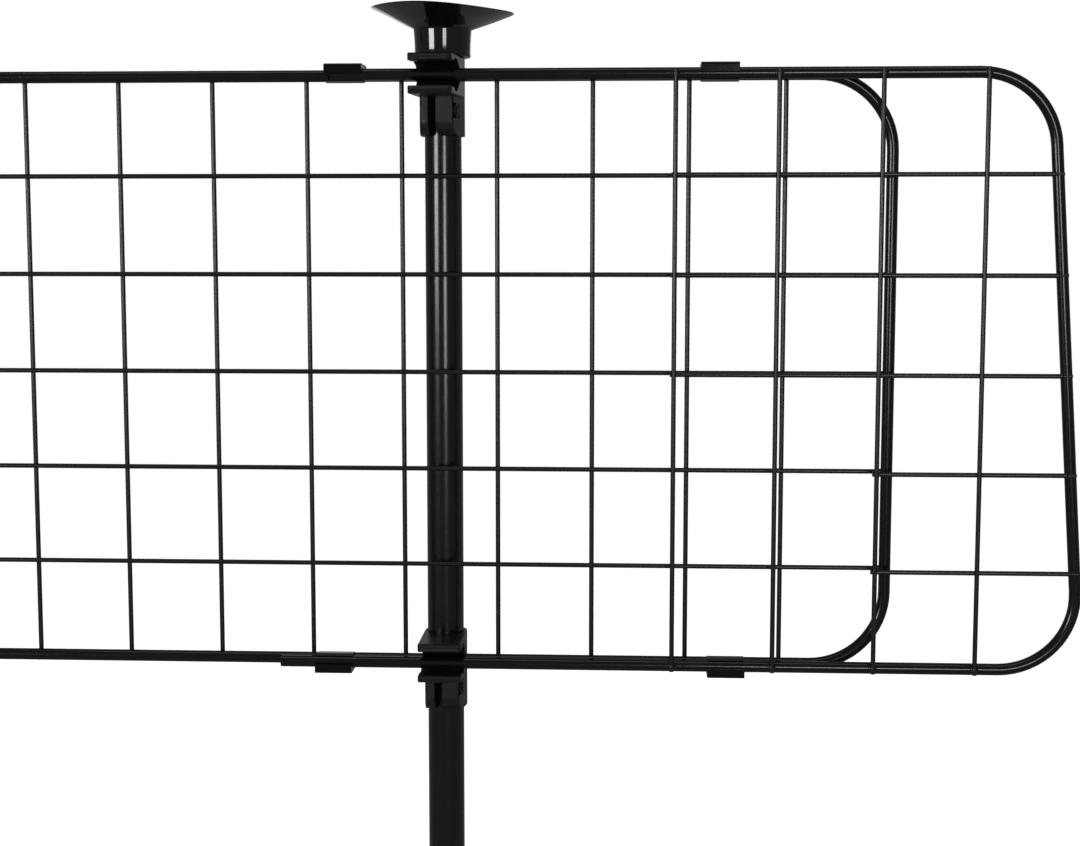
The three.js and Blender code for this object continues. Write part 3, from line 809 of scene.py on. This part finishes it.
def press(cup, outward):
    """The soft rim waves and leans a little; outward is the sign of x away from the middle."""
    lean, start, full = 0.047, 1.0, 6.0
    for v in cup.data.vertices:
        across = v.co.x * outward
        angle = math.atan2(v.co.y, across)
        out = math.hypot(v.co.x, v.co.y) / CUP_RIM
        share = min(max((v.co.z - CUP_STEM + start) / full, 0.0), 1.0)
        # Two, three and one waves around the rim, which grow from a third of the radius
        ripple = 0.25 * math.cos(2 * angle) + 0.53 * math.cos(3 * angle - 1.0) - 0.24 * math.sin(angle)
        v.co.z += share * (ripple * max(0.0, out * 1.5 - 0.5) - lean * across)


def suction_cup(name, tube_r, outward=0):
    """A cup as it was moulded, or pressed on the roof."""
    cup = lathe(name, cup_profile(tube_r), 128)
    if outward:
        press(cup, outward)
    return smooth(cup, 40)


# Lock: the collar's lower end, height and radius of the stud, and the face of the boss in front
COLLAR_LOW = -17.0
STUD_Z, STUD_R = COLLAR_LOW / 2, 3.0
BOSS_FACE = -19.0


def stud_view(u, v, w):
    """The same for an outline that stands across: u to the right, v up from the stud's axis, w backwards."""
    return (u, w, v + STUD_Z)


def lock_collar(name):
    r, top_r, grip, corner, e = 13.6, 12.4, 22.0, 1.4, 0.4
    boss_r, boss_back, hole_back = 6.6, -11.0, -1.0
    keep, keep_top = 1.0, 5.0
    outer, inner = POLE_R + FIT, FOOT_R + FIT
    pts = [(inner, -FIT), (inner, COLLAR_LOW + e), (inner + e, COLLAR_LOW), (r - corner - 0.2, COLLAR_LOW)]
    pts += circle(r - corner, COLLAR_LOW + corner, corner, -90, 0, 8)
    pts += [(r, 0.0)] + circle(top_r - corner, grip - corner, corner, 5, 90, 8)
    pts += [(outer + FIT, grip), (outer, grip - FIT), (outer, -FIT)]
    body = lathe(name, pts, 96)
    boss = prism("boss", full_circle(0, 0, boss_r, 64), BOSS_FACE, boss_back, stud_view)
    carve(boss, prism("keep", full_circle(0, 0, inner + keep, 96), COLLAR_LOW - OVERRUN, keep_top, plan_view))
    carve(body, boss, "UNION")
    hole = full_circle(0, 0, STUD_R + FIT, 40)
    carve(body, prism("hole", hole, BOSS_FACE - OVERRUN, hole_back, stud_view))
    return soften(body, 0.3, 3, 40)


def lock_knob(name):
    """A lobed knob before the collar's boss, with a dished face and a blind bore for the stud."""
    radius, thick, lobes, dish, points, gap = 12.5, 11.0, 6, 0.16, 180, 0.8
    dish_r, dish_deep, end_wall = 7.6, 0.7, 1.0
    front = BOSS_FACE - gap - thick
    outline = []
    for i in range(points):
        a = 2 * math.pi * i / points
        reach = radius * (1 - dish * (1 - math.cos(a * lobes)) / 2)
        outline.append((reach * math.cos(a), reach * math.sin(a)))
    body = prism(name, outline, front, front + thick, stud_view)
    carve(body, prism("hollow", full_circle(0, 0, dish_r, 72), front - OVERRUN, front + dish_deep, stud_view))
    bore = full_circle(0, 0, STUD_R + FIT, 48)
    carve(body, prism("bore", bore, front + end_wall, front + thick + OVERRUN, stud_view))
    return soften(body, 0.9, 4, 40)


def lock_stud(name):
    groove, pitch, back, front = 0.4, 1.0, 8.3, 29.5
    body = threaded(name, STUD_R, groove, pitch, back, front)
    return smooth(move(turn(body, 90, "X"), z=STUD_Z), 30)


def slide_bush(name):
    """A plug in the inner tube's end under a collar that runs in the outer tube."""
    r, plug, plug_low, e, rim_low, rim = FOOT_R, FOOT_R - FOOT_WALL - FIT, -9.0, 0.6, 2.6, 3.0
    pts = [(0, plug_low), (plug - e, plug_low), (plug, plug_low + e), (plug, 0)]
    pts += [(r, 0), (r, rim_low), (r - 0.4, rim), (0, rim)]
    return smooth(lathe(name, pts, 72), 40)


for side, sign in (("right", 1), ("left", -1)):
    pole, pole_top, middle = place(f"{side}_outer_tube")
    foot, foot_top, _ = place(f"{side}_inner_tube")
    roof_stem, floor_stem = place(f"{side}_roof_cup")[0], place(f"{side}_floor_cup")[1]
    for obj, z, material, body, node, slot in (
        (tube(f"{side}_outer_tube_steel", POLE_R, POLE_WALL, pole.z, pole_top.z), 0,
         tube_coat, "pole", "outer_tube", "powder_coat"),
        (suction_cup(f"{side}_roof_cup_rubber", POLE_R, sign), roof_stem.z,
         cup_rubber, "pole", "roof_cup", "soft_rubber"),
        (lock_collar(f"{side}_lock_collar_moulding"), pole.z,
         clamp_plastic, "pole", "lock_collar", "clamp_plastic"),
        (lock_knob(f"{side}_lock_knob_moulding"), pole.z,
         clamp_plastic, "knob", "lock_knob", "clamp_plastic"),
        (lock_stud(f"{side}_lock_stud_m6"), pole.z,
         black_steel, "knob", "lock_stud", "black_steel"),
        (tube(f"{side}_inner_tube_steel", FOOT_R, FOOT_WALL, foot.z, foot_top.z), 0,
         tube_coat, "foot", "inner_tube", "powder_coat"),
        (slide_bush(f"{side}_slide_bush_moulding"), foot_top.z,
         clamp_plastic, "foot", "slide_bush", "clamp_plastic"),
        (turn(suction_cup(f"{side}_floor_cup_rubber", FOOT_R), 180, "X"), floor_stem.z,
         cup_rubber, "foot", "floor_cup", "soft_rubber"),
    ):
        finish_piece(move(obj, middle.x, 0, z), material, f"{side}_{body}", f"{side}_{node}")


# Studio, in metres

scene = bpy.context.scene
scene.view_settings.view_transform = "Standard"
WHITE = (1.0, 1.0, 1.0, 1)

# The camera sees white paper all around, and the object stands in a dim room
world = scene.world or bpy.data.worlds.new("studio")
scene.world = world
world.use_nodes = True
air = world.node_tree
room = air.nodes["Background"]
room.inputs["Color"].default_value = WHITE
room.inputs["Strength"].default_value = 0.18
paper = add_node(air, "ShaderNodeBackground", Color=WHITE, Strength=1.0)
path = air.nodes.new("ShaderNodeLightPath")
either = air.nodes.new("ShaderNodeMixShader")
air.links.new(path.outputs["Is Camera Ray"], either.inputs["Fac"])
air.links.new(room.outputs["Background"], either.inputs[1])
air.links.new(paper.outputs["Background"], either.inputs[2])
air.links.new(either.outputs["Shader"], air.nodes["World Output"].inputs["Surface"])

# A pale round floor, whose glow rises outwards until it meets the white of the paper
FLOOR_R = 4.2
FLOOR_SIDES = 96
floor_points = [(FLOOR_R * x, FLOOR_R * y, 0.0) for x, y in full_circle(0, 0, 1, FLOOR_SIDES)]
floor = solid("studio_floor", floor_points, [tuple(range(FLOOR_SIDES))])
floor_mat, floor_tree, floor_shader = new_material("studio_floor_white", (0.6, 0.6, 0.6), 0.8, 0.1)
floor_coords = object_coords(floor_tree)
floor_mottle = ramp(floor_tree, noise(floor_tree, floor_coords, 3.0, 4.0), [(0.3, (0.58,) * 3), (0.7, (0.62,) * 3)])
floor_tree.links.new(floor_mottle, floor_shader.inputs["Base Color"])
floor_shader.inputs["Emission Color"].default_value = WHITE
floor_reach = add_node(floor_tree, "ShaderNodeVectorMath")
floor_reach.operation = "LENGTH"
floor_tree.links.new(floor_coords, floor_reach.inputs[0])
floor_glow = spread(floor_tree, floor_reach.outputs["Value"], 0.5, 0.92, 0.3, 1.4)
floor_tree.links.new(floor_glow, floor_shader.inputs["Emission Strength"])
floor.visible_glossy = False
floor.data.materials.append(floor_mat)

# The photographed pole's place, which the lights aim at
AIM_X = 0.214


def softbox(name, place_at, look_at, width, height, radiance):
    light = bpy.data.lights.new(name, "AREA")
    light.shape, light.size, light.size_y = "RECTANGLE", width, height
    light.energy = radiance * math.pi * width * height
    obj = link(name, light)
    obj.location = place_at
    obj.rotation_euler = (Vector(place_at) - Vector(look_at)).to_track_quat("Z", "Y").to_euler()


def strip(name, azimuth, distance, width, low, high, radiance):
    """An upright light around the pole, at degrees to the right of straight in front."""
    a = math.radians(azimuth)
    z = (low + high) / 2
    spot = (AIM_X + math.sin(a) * distance, -math.cos(a) * distance, z)
    softbox(name, spot, (AIM_X, 0.0, z), width, high - low, radiance)


# The streaks on the poles are these two front strips; a weak longer one under each lets its streak fade out
for step, low, share in ((1, 0.71, 0.95), (2, 0.6, 0.05)):
    strip(f"strip_left_{step}", -40.0, 2.2, 0.8, low, 1.05, 15.5 * share)
    strip(f"strip_right_{step}", 13.1, 2.4, 0.56, low - 0.17, 1.0, 11.6 * share)
strip("strip_back", 197.0, 2.6, 1.0, 0.3, 1.6, 0.7)
strip("strip_back_right", 163.0, 2.6, 0.7, 0.9, 1.25, 0.95)
softbox("overhead", (0.2, -0.3, 2.6), (AIM_X, 0.0, 0.7), 1.6, 0.5, 1.5)


# Camera, solved from the mesh lines in the photograph: place in millimetres, turns in radians, focal length and
# width of the picture in its points

CAM = (312.7108, -933.539, 781.0323)
YAW, TILT, ROLL = 0.0522, -0.1051, -0.0001
FOCAL_PX, WIDTH_PX, SENSOR = 1800.0, 1080.0, 36.0
camera = bpy.data.cameras.new("camera")
view = link("camera", camera)
scene.camera = view
camera.sensor_fit = "HORIZONTAL"
camera.sensor_width = SENSOR
camera.lens = FOCAL_PX / WIDTH_PX * SENSOR
camera.clip_start, camera.clip_end = 0.05, 100.0
heading = Matrix.Rotation(YAW, 4, "Z") @ Matrix.Rotation(TILT, 4, "X") @ Matrix.Rotation(ROLL, 4, "Y")
view.matrix_world = Matrix.Translation(Vector(CAM) * MM) @ heading @ Matrix.Rotation(math.pi / 2, 4, "X")
